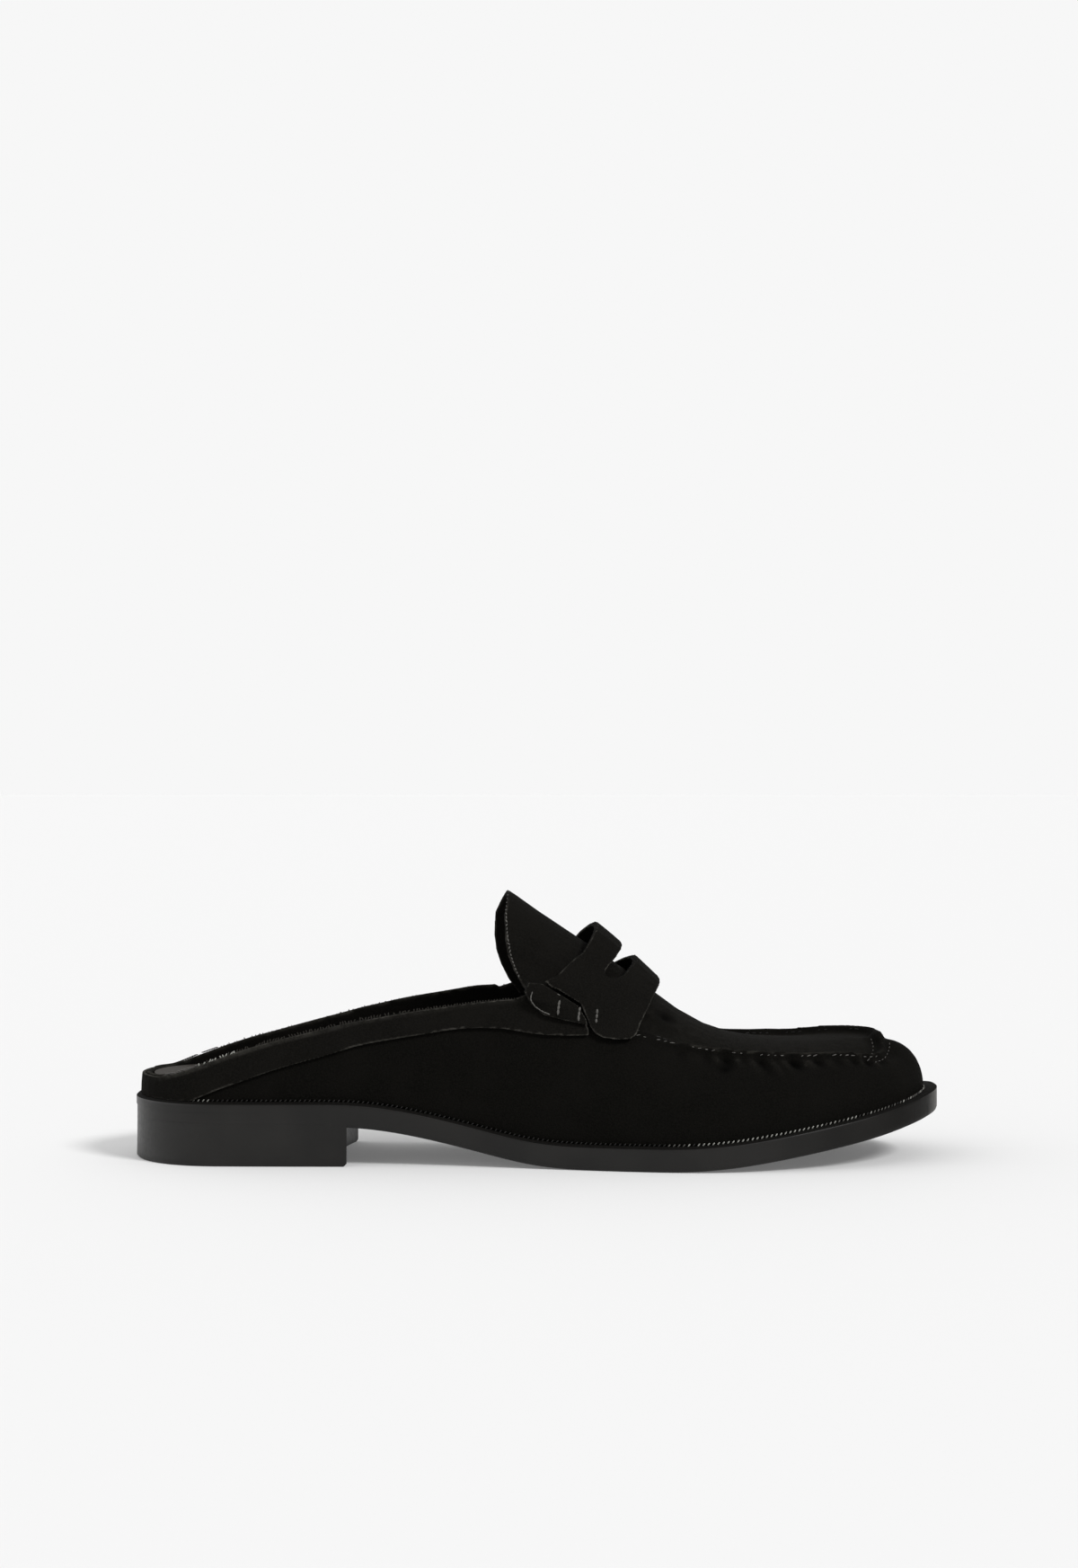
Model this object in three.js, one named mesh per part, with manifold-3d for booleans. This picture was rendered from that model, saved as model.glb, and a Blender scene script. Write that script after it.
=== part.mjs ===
// A flat mule for the right foot: a backless penny loafer in suede on a stitched leather sole.
// Millimetres. X runs from the heel tip to the toe, Y towards the inner side of the foot, Z up from the floor.
import * as THREE from "three";
import { mergeVertices } from "three/addons/utils/BufferGeometryUtils.js";
import Module from "manifold-3d";

const wasm = await Module();
wasm.setup();

// Sole sizes
const soleLength = 271.6;
const ballWidth = 91;
const heelLift = 13; // floor to the outsole's underside at the heel seat
const toeSpring = 15.4; // floor to the outsole's underside at the toe tip
const outsoleThickness = 4.5;
const weltThickness = 3;
const heelLength = 73.3;
const breastHollow = 5; // how far the heel's front curves in at its middle
const heelWaist = 0.25; // how far the heel's back is drawn in under the welt
const waistLength = 60; // and how far forward that reaches
const heelRound = 30; // length of the rounded back of the outline
const toeRound = 38; // length of the rounded front of the outline
const toeSquareness = 2.3; // 2 is an ellipse, more is squarer
const edgeRound = 1.1; // rounding of the outsole's and heel's lower edges

// Upper sizes
const weltMargin = 3; // how far the welt stands out past the upper
const toeMargin = 4.6; // and how far at the toe tip
const upperWall = 2;
const instepHeight = 60; // crown above the sole at the middle of the strap
const toplineRise = 46; // collar above the sole where it meets the tongue
const ridgeHeight = 2.8; // sewn ridge round the apron
const ridgeWidth = 3.4;
const collarBandThickness = 1.1;
const tongueThickness = 2;
const strapThickness = 2;
const strapRise = 5.9; // clear height under the middle of the strap's rear edge
const rollBulge = 3.6;
const rollEdge = 0.6; // thickness of the roll along its borders
const swing = 0.14; // the forepart turns inwards: shift along X for each unit of Y
const crownSide = 5; // the instep's highest line lies towards the inner side

// Footbed sizes
const footbedHeel = 7;
const footbedFront = 4;
const footbedBevel = 0.7;

const throatStart = [0.4752, 0.4444]; // shares of soleLength where the collar meets the throat, outer and inner side
const smallestEdge = 0.02; // corners closer than this are one corner
const breastSides = 96; // flats round the full circle of the heel's hollow front
const seat = 0.3; // gap between pieces that lie on each other
const reach = 0.45 * soleLength; // half length of a cutting block, past every side of the shoe

// Stations round the shoe, and the share of the length over which sections fan out at each end
const sideStations = 44;
const fanShare = 0.25;
const fanBend = 0.45;

// Underside of the outsole: shares of heelLift and of toeSpring along the sole.
const undersideRows = [
  { at: 0.0, ofHeel: 1.0, ofToe: 0 },
  { at: 0.1193, ofHeel: 0.985, ofToe: 0 },
  { at: 0.2684, ofHeel: 0.99, ofToe: 0 },
  { at: 0.2982, ofHeel: 0.94, ofToe: 0 },
  { at: 0.331, ofHeel: 0.845, ofToe: 0 },
  { at: 0.3907, ofHeel: 0.58, ofToe: 0 },
  { at: 0.4493, ofHeel: 0.28, ofToe: 0 },
  { at: 0.4782, ofHeel: 0.135, ofToe: 0 },
  { at: 0.508, ofHeel: 0.045, ofToe: 0 },
  { at: 0.5517, ofHeel: 0, ofToe: 0 },
  { at: 0.6661, ofHeel: 0, ofToe: 0 },
  { at: 0.6959, ofHeel: 0, ofToe: 0.026 },
  { at: 0.7257, ofHeel: 0, ofToe: 0.0695 },
  { at: 0.7853, ofHeel: 0, ofToe: 0.218 },
  { at: 0.85, ofHeel: 0, ofToe: 0.412 },
  { at: 0.9146, ofHeel: 0, ofToe: 0.625 },
  { at: 0.9643, ofHeel: 0, ofToe: 0.83 },
  { at: 1.0, ofHeel: 0, ofToe: 1.0 },
];

// Outline of the sole before its ends are rounded: half widths as shares of ballWidth.
const outlineRows = [
  { at: 0.0, lateral: 0.335, medial: 0.335 },
  { at: 0.0994, lateral: 0.338, medial: 0.335 },
  { at: 0.1988, lateral: 0.344, medial: 0.336 },
  { at: 0.2784, lateral: 0.347, medial: 0.325 },
  { at: 0.3579, lateral: 0.352, medial: 0.303 },
  { at: 0.4374, lateral: 0.37, medial: 0.29 },
  { at: 0.4971, lateral: 0.4, medial: 0.3 },
  { at: 0.5567, lateral: 0.438, medial: 0.335 },
  { at: 0.6163, lateral: 0.474, medial: 0.395 },
  { at: 0.6661, lateral: 0.495, medial: 0.45 },
  { at: 0.7158, lateral: 0.5, medial: 0.488 },
  { at: 0.7555, lateral: 0.49, medial: 0.5 },
  { at: 0.7953, lateral: 0.468, medial: 0.498 },
  { at: 0.845, lateral: 0.425, medial: 0.483 },
  { at: 0.8947, lateral: 0.368, medial: 0.452 },
  { at: 0.9444, lateral: 0.308, medial: 0.41 },
  { at: 1.0, lateral: 0.25, medial: 0.36 },
];

// Crown line of the last above the sole: shares of instepHeight.
const crownRows = [
  { at: 0.0, height: 1.25 },
  { at: 0.2982, height: 1.38 },
  { at: 0.4175, height: 1.36 },
  { at: 0.4603, height: 1.315 },
  { at: 0.501, height: 1.222 },
  { at: 0.5428, height: 1.108 },
  { at: 0.5816, height: 0.992 },
  { at: 0.6183, height: 0.875 },
  { at: 0.6601, height: 0.726 },
  { at: 0.6869, height: 0.645 },
  { at: 0.7138, height: 0.572 },
  { at: 0.7366, height: 0.527 },
  { at: 0.7625, height: 0.488 },
  { at: 0.7953, height: 0.452 },
  { at: 0.8351, height: 0.418 },
  { at: 0.8748, height: 0.39 },
  { at: 1.0, height: 0.3 },
];

// Line where the apron meets the side, and further back the shoulder of the quarters: height above the sole as
// shares of instepHeight, and share of the way from the crown to the sole's edge.
const seamRows = [
  { at: 0.0, lateral: 0.45, medial: 0.45, spread: 0.86 },
  { at: 0.1094, lateral: 0.54, medial: 0.54, spread: 0.86 },
  { at: 0.2187, lateral: 0.64, medial: 0.64, spread: 0.86 },
  { at: 0.3281, lateral: 0.7, medial: 0.71, spread: 0.86 },
  { at: 0.4275, lateral: 0.74, medial: 0.76, spread: 0.84 },
  { at: 0.4772, lateral: 0.755, medial: 0.78, spread: 0.82 },
  { at: 0.5169, lateral: 0.735, medial: 0.77, spread: 0.8 },
  { at: 0.5567, lateral: 0.68, medial: 0.71, spread: 0.77 },
  { at: 0.6014, lateral: 0.605, medial: 0.635, spread: 0.74 },
  { at: 0.6561, lateral: 0.53, medial: 0.56, spread: 0.7 },
  { at: 0.7058, lateral: 0.468, medial: 0.495, spread: 0.67 },
  { at: 0.755, lateral: 0.418, medial: 0.448, spread: 0.65 },
  { at: 0.8, lateral: 0.37, medial: 0.426, spread: 0.642 },
  { at: 0.84, lateral: 0.334, medial: 0.407, spread: 0.627 },
  { at: 0.88, lateral: 0.298, medial: 0.407, spread: 0.617 },
  { at: 0.905, lateral: 0.264, medial: 0.407, spread: 0.622 },
  { at: 0.93, lateral: 0.218, medial: 0.41, spread: 0.636 },
  { at: 0.955, lateral: 0.184, medial: 0.41, spread: 0.63 },
  { at: 0.97, lateral: 0.184, medial: 0.402, spread: 0.585 },
  { at: 0.98, lateral: 0.2, medial: 0.394, spread: 0.54 },
  { at: 0.99, lateral: 0.248, medial: 0.378, spread: 0.48 },
  { at: 1.0, lateral: 0.328, medial: 0.346, spread: 0.42 },
];

// Shape of the side wall: how high it climbs before it turns in, how far out it holds, how it drops from the
// seam, and its outward swell at each side as shares of ballWidth.
const wallRows = [
  { at: 0.0, climb: 0.36, hold: 0.36, drop: 0.34, lateral: 0.0, medial: 0.0 },
  { at: 0.1988, climb: 0.36, hold: 0.36, drop: 0.34, lateral: 0.004, medial: 0.006 },
  { at: 0.3976, climb: 0.36, hold: 0.38, drop: 0.33, lateral: 0.012, medial: 0.04 },
  { at: 0.5169, climb: 0.38, hold: 0.42, drop: 0.3, lateral: 0.014, medial: 0.045 },
  { at: 0.6362, climb: 0.45, hold: 0.5, drop: 0.18, lateral: 0.012, medial: 0.02 },
  { at: 0.7356, climb: 0.52, hold: 0.52, drop: 0.1, lateral: 0.01, medial: 0.01 },
  { at: 0.8549, climb: 0.56, hold: 0.5, drop: 0.06, lateral: 0.006, medial: 0.006 },
  { at: 1.0, climb: 0.68, hold: 0.58, drop: -0.02, lateral: 0.0, medial: 0.0 },
];

// How full the top of the section is between the seam and the crown.
const crownFullnessRows = [
  { at: 0.0, full: 0.6 },
  { at: 0.5965, full: 0.6 },
  { at: 0.7356, full: 0.52 },
  { at: 1.0, full: 0.5 },
];

// Topline of the collar above the sole: shares of toplineRise.
const toplineRows = [
  { at: 0.0, lateral: 0.162, medial: 0.162 },
  { at: 0.0328, lateral: 0.162, medial: 0.164 },
  { at: 0.0626, lateral: 0.2, medial: 0.215 },
  { at: 0.0885, lateral: 0.257, medial: 0.27 },
  { at: 0.1272, lateral: 0.342, medial: 0.345 },
  { at: 0.161, lateral: 0.406, medial: 0.4 },
  { at: 0.2207, lateral: 0.495, medial: 0.495 },
  { at: 0.2624, lateral: 0.554, medial: 0.56 },
  { at: 0.2943, lateral: 0.602, medial: 0.618 },
  { at: 0.331, lateral: 0.67, medial: 0.697 },
  { at: 0.3678, lateral: 0.748, medial: 0.78 },
  { at: 0.3976, lateral: 0.812, medial: 0.852 },
  { at: 0.4235, lateral: 0.87, medial: 0.915 },
  { at: 0.4752, lateral: 0.972, medial: 1.0 },
  { at: 0.5567, lateral: 1.06, medial: 1.09 },
];

// Lower edge of the collar band above the sole: shares of toplineRise.
const bandRows = [
  { at: 0.0, low: -0.05 },
  { at: 0.0596, low: -0.03 },
  { at: 0.1064, low: 0.076 },
  { at: 0.1471, low: 0.163 },
  { at: 0.1829, low: 0.236 },
  { at: 0.2197, low: 0.298 },
  { at: 0.2555, low: 0.357 },
  { at: 0.2903, low: 0.424 },
  { at: 0.3271, low: 0.491 },
  { at: 0.3628, low: 0.567 },
  { at: 0.3986, low: 0.648 },
  { at: 0.4344, low: 0.712 },
  { at: 0.4702, low: 0.75 },
  { at: 0.507, low: 0.755 },
  { at: 0.5567, low: 0.765 },
];

// Side views of the pieces on the instep: along as shares of soleLength, up as shares of instepHeight above the
// sole, both at the crown line. They lean with the swing of the forepart.
const strapOutline = [
  { at: 0.5751, up: 1.177 },
  { at: 0.5604, up: 1.113 },
  { at: 0.5446, up: 1.022 },
  { at: 0.5316, up: 0.985 },
  { at: 0.518, up: 0.932 },
  { at: 0.5077, up: 0.888 },
  { at: 0.493, up: 0.855 },
  { at: 0.501, up: 0.828 },
  { at: 0.5081, up: 0.82 },
  { at: 0.5349, up: 0.752 },
  { at: 0.5453, up: 0.63 },
  { at: 0.5504, up: 0.598 },
  { at: 0.5586, up: 0.577 },
  { at: 0.5773, up: 0.565 },
  { at: 0.5932, up: 0.57 },
  { at: 0.6009, up: 0.59 },
  { at: 0.609, up: 0.653 },
  { at: 0.6329, up: 0.787 },
  { at: 0.6505, up: 0.857 },
  { at: 0.671, up: 1.0 },
  { at: 0.5965, up: 1.5 },
];
const rollOutline = [
  { at: 0.4882, up: 0.843 },
  { at: 0.4713, up: 0.835 },
  { at: 0.4668, up: 0.778 },
  { at: 0.4742, up: 0.717 },
  { at: 0.489, up: 0.677 },
  { at: 0.5147, up: 0.66 },
  { at: 0.5413, up: 0.643 },
  { at: 0.5398, up: 0.673 },
  { at: 0.5309, up: 0.742 },
  { at: 0.5066, up: 0.803 },
];
const innerRollStart = 0.4841; // the inner roll is the shorter one, as a share of soleLength
const throatOutline = [
  { at: 0.3976, up: 0.95 },
  { at: 0.4523, up: 0.745 },
  { at: 0.4593, up: 0.735 },
  { at: 0.4742, up: 0.774 },
  { at: 0.4871, up: 0.82 },
  { at: 0.5716, up: 0.74 },
  { at: 0.5722, up: 0.76 },
  { at: 0.5722, up: 2.2 },
  { at: 0.2982, up: 2.2 },
];
const tongueOutline = [
  { at: 0.4662, up: 1.37 },
  { at: 0.4628, up: 1.318 },
  { at: 0.4508, up: 1.165 },
  { at: 0.4498, up: 1.03 },
  { at: 0.4528, up: 0.945 },
  { at: 0.4588, up: 0.875 },
  { at: 0.4687, up: 0.8 },
  { at: 0.4831, up: 0.725 },
  { at: 0.5711, up: 0.725 },
  { at: 0.5711, up: 1.6 },
  { at: 0.4672, up: 1.6 },
];

const slotOutline = [
  { at: 0.6021, up: 1.047 },
  { at: 0.5924, up: 1.012 },
  { at: 0.5836, up: 0.977 },
  { at: 0.5765, up: 0.952 },
  { at: 0.5703, up: 0.92 },
  { at: 0.5705, up: 0.895 },
  { at: 0.5781, up: 0.882 },
  { at: 0.5877, up: 0.882 },
  { at: 0.5938, up: 0.892 },
  { at: 0.6044, up: 0.93 },
  { at: 0.615, up: 0.959 },
  { at: 0.6223, up: 0.976 },
  { at: 0.6482, up: 1.096 },
  { at: 0.6273, up: 1.167 },
];

// A smooth curve through the rows of a table that never swings past them.
function curveThrough(rows, column) {
  const last = rows.length - 1;
  const step = (i) => rows[i + 1].at - rows[i].at;
  const slope = (i) => (rows[i + 1][column] - rows[i][column]) / step(i);
  const tangents = rows.map((_, i) => {
    if (i === 0) return slope(0);
    if (i === last) return slope(last - 1);
    const before = slope(i - 1);
    const after = slope(i);
    return before * after <= 0 ? 0 : (2 * before * after) / (before + after);
  });
  return (at) => {
    const held = Math.min(Math.max(at, rows[0].at), rows[last].at);
    let i = 0;
    while (i < last - 1 && held > rows[i + 1].at) i++;
    const t = (held - rows[i].at) / step(i);
    const start = rows[i][column] * (1 + 2 * t) * (1 - t) ** 2;
    const end = rows[i + 1][column] * t * t * (3 - 2 * t);
    const leave = step(i) * tangents[i] * t * (1 - t) ** 2;
    const arrive = step(i) * tangents[i + 1] * t * t * (t - 1);
    return start + end + leave + arrive;
  };
}

const ofHeel = curveThrough(undersideRows, "ofHeel");
const ofToe = curveThrough(undersideRows, "ofToe");
const outlineSides = [curveThrough(outlineRows, "lateral"), curveThrough(outlineRows, "medial")];
const crownHeight = curveThrough(crownRows, "height");
const seamSides = [curveThrough(seamRows, "lateral"), curveThrough(seamRows, "medial")];
const seamSpread = curveThrough(seamRows, "spread");
const wallClimb = curveThrough(wallRows, "climb");
const wallHold = curveThrough(wallRows, "hold");
const wallDrop = curveThrough(wallRows, "drop");
const swellSides = [curveThrough(wallRows, "lateral"), curveThrough(wallRows, "medial")];
const crownFullness = curveThrough(crownFullnessRows, "full");
const toplineSides = [curveThrough(toplineRows, "lateral"), curveThrough(toplineRows, "medial")];
const bandLow = curveThrough(bandRows, "low");

const turn = 2 * Math.PI;
const smooth = (t) => t * t * (3 - 2 * t);
const ramp = (from, to, value) => smooth(Math.min(Math.max((value - from) / (to - from), 0), 1));
const underside = (x) => heelLift * ofHeel(x / soleLength) + toeSpring * ofToe(x / soleLength);
const soleTop = (x) => underside(x) + outsoleThickness + seat + weltThickness;

// A value that is one thing at the outer side and another at the inner side, and even at the tips.
function sideMix(sides, at, around) {
  const outer = (1 + Math.sin(around)) / 2;
  return sides[0](at) * outer + sides[1](at) * (1 - outer);
}

// Edge of the sole seen from above. around is 0 at the heel tip, half a turn at the toe tip, and runs along the
// outer side first.
function edgePoint(around) {
  const angle = ((around % turn) + turn) % turn;
  const x = (soleLength * (1 - Math.cos(angle))) / 2;
  const at = x / soleLength;
  const outer = -ballWidth * outlineSides[0](at);
  const inner = ballWidth * outlineSides[1](at);
  const middle = (outer + inner) / 2;
  const heelPart = Math.max(0, 1 - x / heelRound);
  const toePart = Math.max(0, 1 - (soleLength - x) / toeRound);
  const heelFactor = Math.sqrt(1 - heelPart ** 2);
  const toeFactor = Math.max(0, 1 - toePart ** toeSquareness) ** (1 / toeSquareness);
  const side = angle <= Math.PI ? outer : inner;
  return new THREE.Vector2(x, middle + (side - middle) * heelFactor * toeFactor);
}

function edgeNormal(around) {
  const small = 1e-3;
  const along = edgePoint(around + small).sub(edgePoint(around - small)).normalize();
  return new THREE.Vector2(along.y, -along.x);
}

const insetEdge = (around, inset) => edgePoint(around).addScaledVector(edgeNormal(around), -inset);
const toeShare = (around) => ramp(0.95, 1, edgePoint(around).x / soleLength);
const upperInset = (around) => weltMargin + (toeMargin - weltMargin) * toeShare(around);

// A point on the outside of the last. climb is 0 at the sole's edge, 1 at the apron seam and 2 at the crown.
function lastPoint(around, climb) {
  if (climb > 2) return lastPoint(turn - around, 4 - climb);
  const foot = insetEdge(around, upperInset(around));
  const x = edgePoint(around).x;
  const fan = fanShare * soleLength;
  const toeFan = Math.max(0, (x - (soleLength - fan)) / fan);
  const heelFan = Math.max(0, (fan - x) / fan);
  const crownX = x - fan * fanBend * (toeFan ** 2 - heelFan ** 2);
  const crownY = crownSide * ramp(0, 0.45, crownX / soleLength);
  const crown = new THREE.Vector3(crownX, crownY, 0);
  crown.z = soleTop(crownX) + instepHeight * crownHeight(crownX / soleLength);
  const base = new THREE.Vector3(foot.x, foot.y, soleTop(foot.x) + seat);
  const spread = seamSpread(x / soleLength);
  const seam = new THREE.Vector3().lerpVectors(crown, base, spread);
  seam.z = soleTop(seam.x) + instepHeight * sideMix(seamSides, x / soleLength, around);
  const share = climb <= 1 ? climb : climb - 1;
  if (climb > 1) {
    const full = crownFullness(crownX / soleLength);
    const bend = new THREE.Vector3().lerpVectors(crown, seam, full);
    bend.z = crown.z;
    return new THREE.QuadraticBezierCurve3(seam, bend, crown).getPoint(share);
  }
  const at = x / soleLength;
  const rise = seam.z - base.z;
  const outward = edgeNormal(around).multiplyScalar(ballWidth * sideMix(swellSides, at, around));
  const low = base.clone().add(new THREE.Vector3(outward.x, outward.y, wallClimb(at) * rise));
  const high = seam.clone().lerp(base, wallHold(at)).add(new THREE.Vector3(outward.x, outward.y, 0));
  high.z = seam.z - wallDrop(at) * rise;
  return new THREE.CubicBezierCurve3(base, low, high, seam).getPoint(share);
}

function lastNormal(around, climb) {
  const topmost = 1.97;
  if (climb > 4 - topmost) return lastNormal(turn - around, 4 - climb);
  if (climb > topmost) {
    return lastNormal(around, topmost).add(lastNormal(turn - around, topmost)).normalize();
  }
  const small = 2e-3;
  const forward = lastPoint(around + small, climb).sub(lastPoint(around - small, climb));
  const upward = lastPoint(around, climb + small).sub(lastPoint(around, Math.max(0, climb - small)));
  return forward.cross(upward).normalize();
}

const offLast = (around, climb, offset) =>
  lastPoint(around, climb).addScaledVector(lastNormal(around, climb), offset);

// Turns points and triangles into a solid whose faces point out.
function solidFrom(points, triangles) {
  const geometry = new THREE.BufferGeometry();
  geometry.setAttribute("position", new THREE.Float32BufferAttribute(points.flatMap((p) => [p.x, p.y, p.z]), 3));
  geometry.setIndex(triangles);
  return toSolid(geometry);
}

// Joins corners that lie closer together than the tolerance, and drops the triangles that this closes up.
function weld(geometry, tolerance) {
  for (const name of Object.keys(geometry.attributes)) {
    if (name !== "position") geometry.deleteAttribute(name);
  }
  const merged = mergeVertices(geometry, tolerance);
  const corners = merged.index.array;
  const kept = [];
  for (let i = 0; i < corners.length; i += 3) {
    const [a, b, c] = corners.slice(i, i + 3);
    if (a !== b && b !== c && c !== a) kept.push(a, b, c);
  }
  merged.setIndex(kept);
  return merged;
}

function toSolid(geometry) {
  const welded = weld(geometry, 1e-4);
  return new wasm.Manifold(
    new wasm.Mesh({
      numProp: 3,
      vertProperties: welded.attributes.position.array,
      triVerts: new Uint32Array(welded.index.array),
    }),
  );
}

// A layer of the sole: rings from bottom to top, each with its inset from the edge or from the foot of the upper,
// its share of the heel's waist and its height at x.
function soleLayer(rings) {
  const count = 2 * sideStations;
  const points = [];
  for (const ring of rings) {
    for (let j = 0; j < count; j++) {
      const around = (j / count) * turn;
      const waist = heelWaist * (1 - ramp(0, waistLength, edgePoint(around).x));
      const margin = ring.inUpper ? upperInset(around) : 0;
      const p = insetEdge(around, margin + ring.inset + waist * (ring.waist ?? 0));
      points.push(new THREE.Vector3(p.x, p.y, ring.height(p.x)));
    }
  }
  const triangles = [];
  for (let r = 0; r < rings.length - 1; r++) {
    for (let j = 0; j < count; j++) {
      const next = (j + 1) % count;
      const low = r * count;
      const high = low + count;
      triangles.push(low + j, low + next, high + next, low + j, high + next, high + j);
    }
  }
  const topRing = (rings.length - 1) * count;
  for (let j = 0; j < sideStations; j++) {
    const across = (count - j) % count;
    const nextAcross = count - j - 1;
    triangles.push(topRing + j, topRing + j + 1, topRing + nextAcross);
    triangles.push(topRing + j, topRing + nextAcross, topRing + across);
    triangles.push(nextAcross, j + 1, j);
    triangles.push(across, nextAcross, j);
  }
  return solidFrom(points, triangles);
}

// A sheet with a thickness that lies on the last. columns are lists of { around, climb }, inner and outer give
// the offsets of its two faces. A ring of columns closes on itself, and a sheet that reaches the crown from both
// sides closes there.
function sheetOnLast(columns, inner, outer, { ring = false, crowned = false } = {}) {
  const rows = columns[0].length;
  const half = columns.length * rows;
  const points = [];
  for (const face of [outer, inner]) {
    for (const column of columns) {
      for (const { around, climb } of column) {
        points.push(offLast(around, climb, face(around, climb)));
      }
    }
  }
  const triangles = [];
  const quad = (a, b, c, d) => triangles.push(a, b, c, a, c, d);
  const spans = ring ? columns.length : columns.length - 1;
  for (let c = 0; c < spans; c++) {
    const here = c * rows;
    const next = ((c + 1) % columns.length) * rows;
    for (let r = 0; r < rows - 1; r++) {
      quad(here + r, next + r, next + r + 1, here + r + 1);
      quad(half + here + r + 1, half + next + r + 1, half + next + r, half + here + r);
    }
    quad(here, half + here, half + next, next);
    if (!crowned) {
      const top = rows - 1;
      quad(here + top, next + top, half + next + top, half + here + top);
    }
  }
  if (!ring) {
    const end = (columns.length - 1) * rows;
    for (let r = 0; r < rows - 1; r++) {
      quad(r, r + 1, half + r + 1, half + r);
      quad(end + r + 1, end + r, half + end + r, half + end + r + 1);
    }
  }
  return solidFrom(points, triangles);
}

const steps = (from, to, count) => Array.from({ length: count + 1 }, (_, i) => from + ((to - from) * i) / count);
const aroundAt = (x) => Math.acos(1 - (2 * x) / soleLength);

// Columns that cross the instep from the outer side over the crown to the inner side.
function instepColumns(fromAt, toAt, count, climbs) {
  return steps(fromAt * soleLength, toAt * soleLength, count).map((x) =>
    climbs.map((climb) =>
      climb <= 2 ? { around: aroundAt(x), climb } : { around: turn - aroundAt(x), climb: 4 - climb },
    ),
  );
}

// A block with the side view given as points along X and Z, from one Y to another.
function sideBlock(points, fromY, toY) {
  const shape = new THREE.Shape(points.map((p) => new THREE.Vector2(p.x, p.z)));
  const block = new THREE.ExtrudeGeometry(shape, { depth: toY - fromY, bevelEnabled: false });
  block.rotateX(Math.PI / 2).translate(0, toY, 0);
  return toSolid(block);
}

// An outline on the instep as a block, leaning with the swing of the forepart.
function instepBlock(outline, fromY, toY) {
  const points = outline.map(({ at, up }) => {
    const x = at * soleLength;
    return { x, z: soleTop(x) + instepHeight * up };
  });
  const lean = new THREE.Matrix4().set(1, -swing, 0, swing * crownSide, 0, 1, 0, 0, 0, 0, 1, 0, 0, 0, 0, 1);
  return sideBlock(points, fromY, toY).transform(lean.elements);
}

// Everything above a line along the shoe, or below it, on one side of the foot.
function lineBlock(height, fromAt, toAt, end, fromY, toY) {
  const line = steps(fromAt, toAt, 48).map((at) => ({ x: at * soleLength, z: height(at) }));
  const close = [
    { x: toAt * soleLength, z: end },
    { x: fromAt * soleLength, z: end },
  ];
  return sideBlock([...line, ...close], fromY, toY);
}

function makeOutsole() {
  return soleLayer([
    { inset: edgeRound, waist: 1, height: underside },
    { inset: edgeRound * 0.3, waist: 1, height: (x) => underside(x) + edgeRound * 0.3 },
    { inset: 0, waist: 1, height: (x) => underside(x) + edgeRound },
    { inset: 0, waist: 1, height: (x) => underside(x) + outsoleThickness },
  ]);
}

function makeWelt() {
  const bottom = outsoleThickness + seat;
  const chamfer = weltThickness * 0.2;
  return soleLayer([
    { inset: 0, height: (x) => underside(x) + bottom },
    { inset: 0, height: (x) => underside(x) + bottom + weltThickness - chamfer },
    { inset: chamfer, height: soleTop },
  ]);
}

function makeHeel() {
  const top = (x) => underside(x) - seat;
  const block = soleLayer([
    { inset: edgeRound * 0.6, waist: 0.3, height: () => 0 },
    { inset: 0, waist: 0.35, height: () => edgeRound * 0.6 },
    { inset: 0, waist: 0.85, height: (x) => Math.max(top(x) / 2, edgeRound) },
    { inset: 0, waist: 1, height: (x) => Math.max(top(x), 2 * edgeRound) },
  ]);
  const back = sideBlock(
    [
      { x: -reach, z: -reach },
      { x: heelLength - edgeRound, z: -reach },
      { x: heelLength - edgeRound, z: 0 },
      { x: heelLength, z: edgeRound },
      { x: heelLength, z: reach },
      { x: -reach, z: reach },
    ],
    -reach,
    reach,
  );
  const halfWidth = ballWidth * outlineSides[0](heelLength / soleLength);
  const radius = (halfWidth ** 2 + breastHollow ** 2) / (2 * breastHollow);
  const round = new THREE.CylinderGeometry(radius, radius, 2 * reach, breastSides);
  round.rotateX(Math.PI / 2);
  round.translate(heelLength + radius - breastHollow, 0, 0);
  return block.intersect(back).subtract(toSolid(round));
}

function makeFootbed() {
  const inset = upperWall + seat;
  const floor = (x) => soleTop(x) + seat;
  const thickness = (x) => footbedHeel + (footbedFront - footbedHeel) * ramp(0.35, 0.6, x / soleLength);
  return soleLayer([
    { inUpper: true, inset, height: floor },
    { inUpper: true, inset, height: (x) => floor(x) + thickness(x) / 2 },
    { inUpper: true, inset: inset + footbedBevel, height: (x) => floor(x) + thickness(x) },
  ]);
}

const ridgeProfile = curveThrough(
  [
    { at: -1, up: 0 },
    { at: -0.55, up: 0.8 },
    { at: 0, up: 1 },
    { at: 0.55, up: 0.8 },
    { at: 1, up: 0 },
  ],
  "up",
);

// Half widths of the ridge on the side and on the apron, in steps of climb at this station.
function ridgeShares(around) {
  const seam = lastPoint(around, 1);
  const onSide = ridgeWidth / 2 / seam.distanceTo(lastPoint(around, 0));
  const onApron = ridgeWidth / 2 / seam.distanceTo(lastPoint(around, 2));
  return { onSide, onApron: onApron * (1 + ramp(0.93, 0.99, edgePoint(around).x / soleLength)) };
}

// The sewn ridge rises from under the strap and runs round the apron.
function ridge(around, climb) {
  const { onSide, onApron } = ridgeShares(around);
  const across = climb < 1 ? (climb - 1) / onSide : (climb - 1) / onApron;
  if (Math.abs(across) >= 1) return 0;
  return ridgeHeight * ridgeProfile(across) * ramp(0.6, 0.7, edgePoint(around).x / soleLength);
}

const collarCutter = (side, fromY, toY) => {
  const line = (at) => soleTop(at * soleLength) + toplineRise * toplineSides[side](at);
  return lineBlock(line, -0.1, throatStart[side], 2 * reach, fromY, toY);
};

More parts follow.
